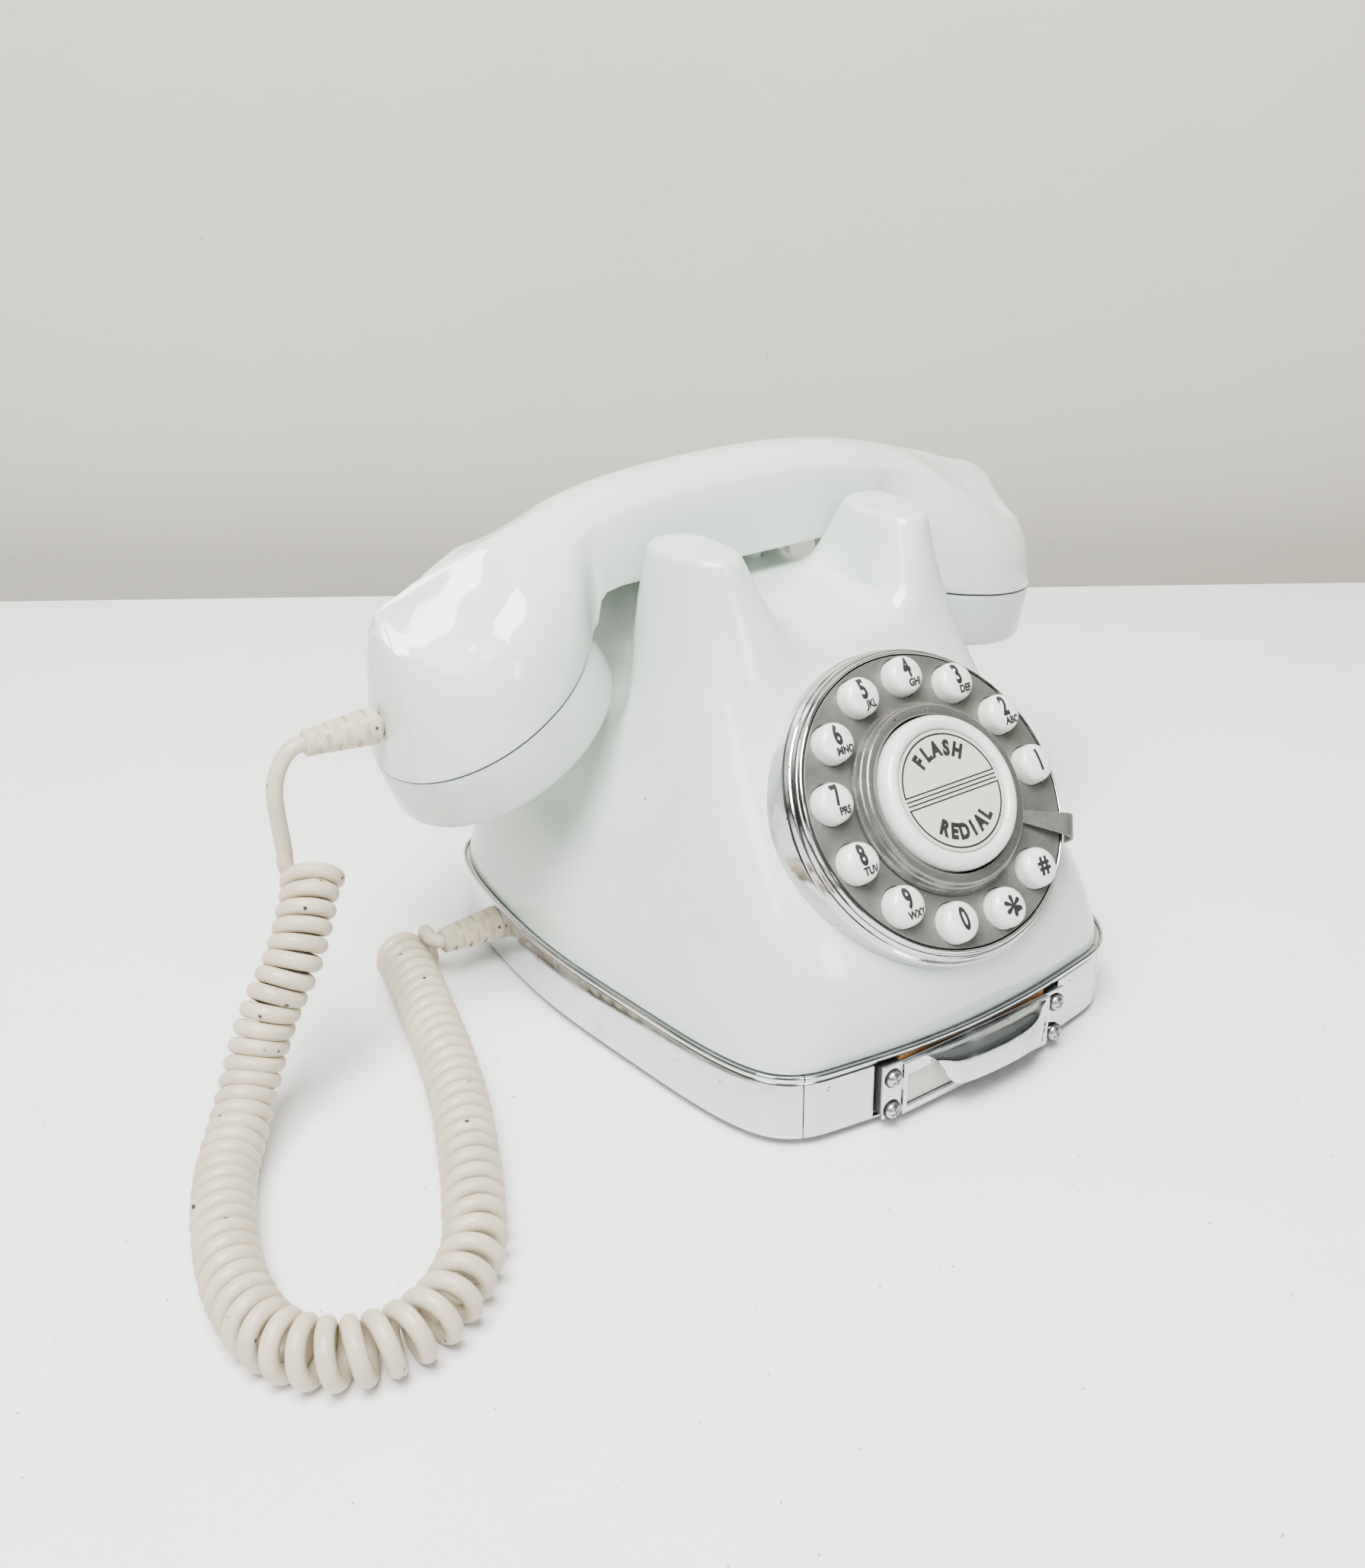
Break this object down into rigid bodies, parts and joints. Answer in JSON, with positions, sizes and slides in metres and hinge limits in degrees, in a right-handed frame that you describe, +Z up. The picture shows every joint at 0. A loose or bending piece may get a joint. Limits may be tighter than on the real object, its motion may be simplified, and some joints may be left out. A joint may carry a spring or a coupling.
{
  "type": "push-button desk telephone",
  "caption": "Desk telephone in a vintage rotary style: round push-button dial, four-horned cradle, handset on a coiled cord, chromed base band with a small drawer.",
  "frame": {"origin": "centre of the telephone's footprint without its free cord, on the surface the feet stand on", "axes": "+Z up; -Y is the front, where the dial faces; +X is to the right of someone facing the dial, and the handset lies along X"},
  "size_m": [0.3164, 0.1772, 0.1499],
  "materials": {
    "glossy_white_plastic": "glossy moulded white with a faint green tint",
    "pale_grey_plastic": "glossy moulded, slightly greyer than the shells",
    "key_white_plastic": "glossy moulded white",
    "chrome_plate": "bright plate, lightly worn",
    "satin_grey_metal": "satin grey",
    "steel": "plain",
    "capsule_metal": "dull",
    "ivory_card": "printed card",
    "brown_board": "raw brown board",
    "beige_cord_plastic": "beige vinyl, scuffed",
    "dark_rubber": "matte",
    "circuit_board": "green board",
    "black_plastic": "moulded black",
    "plunger_plastic": "pale moulded",
    "wire_sleeve": "insulated wire"
  },
  "bodies": {
    "telephone_base": {"housing_shell": "glossy_white_plastic", "base_band": "chrome_plate", "base_front_panel": "chrome_plate", "dial_bezel": "chrome_plate", "dial_face_plate": "satin_grey_metal", "dial_centre_ring": "satin_grey_metal", "finger_stop": "satin_grey_metal", "key_dome_sheet": "dark_rubber", "key_circuit_board": "circuit_board", "main_circuit_board": "circuit_board", "base_plate": "steel", "ballast_weight": "steel", "ringer": "capsule_metal", "base_strain_relief": "beige_cord_plastic", "cord_coil": "beige_cord_plastic", "cord_tail_handset": "beige_cord_plastic", "cord_tail_base": "beige_cord_plastic", "hook_switch": "black_plastic", "line_jack": "black_plastic", "rubber_foot_front_left": "dark_rubber", "rubber_foot_front_right": "dark_rubber", "rubber_foot_rear_left": "dark_rubber", "rubber_foot_rear_right": "dark_rubber"},
    "handset": {"handset_shell": "glossy_white_plastic", "mouth_cap": "pale_grey_plastic", "ear_cap": "pale_grey_plastic", "microphone_capsule": "capsule_metal", "receiver_capsule": "capsule_metal", "handset_wiring": "wire_sleeve", "handset_strain_relief": "beige_cord_plastic"},
    "drawer": {"drawer_tray": "black_plastic", "drawer_front": "brown_board", "drawer_pull": "chrome_plate", "label_card": "ivory_card", "pull_screw_upper_left": "steel", "pull_screw_lower_left": "steel", "pull_screw_upper_right": "steel", "pull_screw_lower_right": "steel"},
    "centre_rocker": {"centre_rocker": "key_white_plastic", "centre_card": "ivory_card"},
    "hook_plunger_left": {"hook_plunger_left": "plunger_plastic"},
    "hook_plunger_right": {"hook_plunger_right": "plunger_plastic"},
    "key_1": {"key_1": "key_white_plastic"},
    "key_2": {"key_2": "key_white_plastic"},
    "key_3": {"key_3": "key_white_plastic"},
    "key_4": {"key_4": "key_white_plastic"},
    "key_5": {"key_5": "key_white_plastic"},
    "key_6": {"key_6": "key_white_plastic"},
    "key_7": {"key_7": "key_white_plastic"},
    "key_8": {"key_8": "key_white_plastic"},
    "key_9": {"key_9": "key_white_plastic"},
    "key_0": {"key_0": "key_white_plastic"},
    "key_star": {"key_star": "key_white_plastic"},
    "key_hash": {"key_hash": "key_white_plastic"}
  },
  "joints": [
    {"name": "handset_lift", "type": "slide", "parent": "telephone_base", "child": "handset", "axis": [0, 0, 1], "range_m": [0, 0.12]},
    {"name": "drawer_slide", "type": "slide", "parent": "telephone_base", "child": "drawer", "axis": [0, -1, 0], "range_m": [0, 0.07]},
    {"name": "rocker_pivot", "type": "hinge", "parent": "telephone_base", "child": "centre_rocker", "pos_m": [-0.0033, -0.06377, 0.08104], "axis": [1, 0, 0], "range_deg": [-3, 3], "stiffness_Nm_per_rad": 0.4},
    {"name": "hook_left_slide", "type": "slide", "parent": "telephone_base", "child": "hook_plunger_left", "axis": [0, 0, 1], "range_m": [0, 0.0035]},
    {"name": "hook_right_slide", "type": "slide", "parent": "telephone_base", "child": "hook_plunger_right", "axis": [0, 0, 1], "range_m": [0, 0.0035]},
    {"name": "key_1_press", "type": "slide", "parent": "telephone_base", "child": "key_1", "axis": [0, 0.7793, -0.6266], "range_m": [0, 0.0015], "stiffness_N_per_m": 250},
    {"name": "key_2_press", "type": "slide", "parent": "telephone_base", "child": "key_2", "axis": [0, 0.7793, -0.6266], "range_m": [0, 0.0015], "stiffness_N_per_m": 250},
    {"name": "key_3_press", "type": "slide", "parent": "telephone_base", "child": "key_3", "axis": [0, 0.7793, -0.6266], "range_m": [0, 0.0015], "stiffness_N_per_m": 250},
    {"name": "key_4_press", "type": "slide", "parent": "telephone_base", "child": "key_4", "axis": [0, 0.7793, -0.6266], "range_m": [0, 0.0015], "stiffness_N_per_m": 250},
    {"name": "key_5_press", "type": "slide", "parent": "telephone_base", "child": "key_5", "axis": [0, 0.7793, -0.6266], "range_m": [0, 0.0015], "stiffness_N_per_m": 250},
    {"name": "key_6_press", "type": "slide", "parent": "telephone_base", "child": "key_6", "axis": [0, 0.7793, -0.6266], "range_m": [0, 0.0015], "stiffness_N_per_m": 250},
    {"name": "key_7_press", "type": "slide", "parent": "telephone_base", "child": "key_7", "axis": [0, 0.7793, -0.6266], "range_m": [0, 0.0015], "stiffness_N_per_m": 250},
    {"name": "key_8_press", "type": "slide", "parent": "telephone_base", "child": "key_8", "axis": [0, 0.7793, -0.6266], "range_m": [0, 0.0015], "stiffness_N_per_m": 250},
    {"name": "key_9_press", "type": "slide", "parent": "telephone_base", "child": "key_9", "axis": [0, 0.7793, -0.6266], "range_m": [0, 0.0015], "stiffness_N_per_m": 250},
    {"name": "key_0_press", "type": "slide", "parent": "telephone_base", "child": "key_0", "axis": [0, 0.7793, -0.6266], "range_m": [0, 0.0015], "stiffness_N_per_m": 250},
    {"name": "key_star_press", "type": "slide", "parent": "telephone_base", "child": "key_star", "axis": [0, 0.7793, -0.6266], "range_m": [0, 0.0015], "stiffness_N_per_m": 250},
    {"name": "key_hash_press", "type": "slide", "parent": "telephone_base", "child": "key_hash", "axis": [0, 0.7793, -0.6266], "range_m": [0, 0.0015], "stiffness_N_per_m": 250}
  ],
  "couplings": [
    {"joint": "hook_left_slide", "follows": "handset_lift", "ratio": 0.029},
    {"joint": "hook_right_slide", "follows": "handset_lift", "ratio": 0.029}
  ]
}
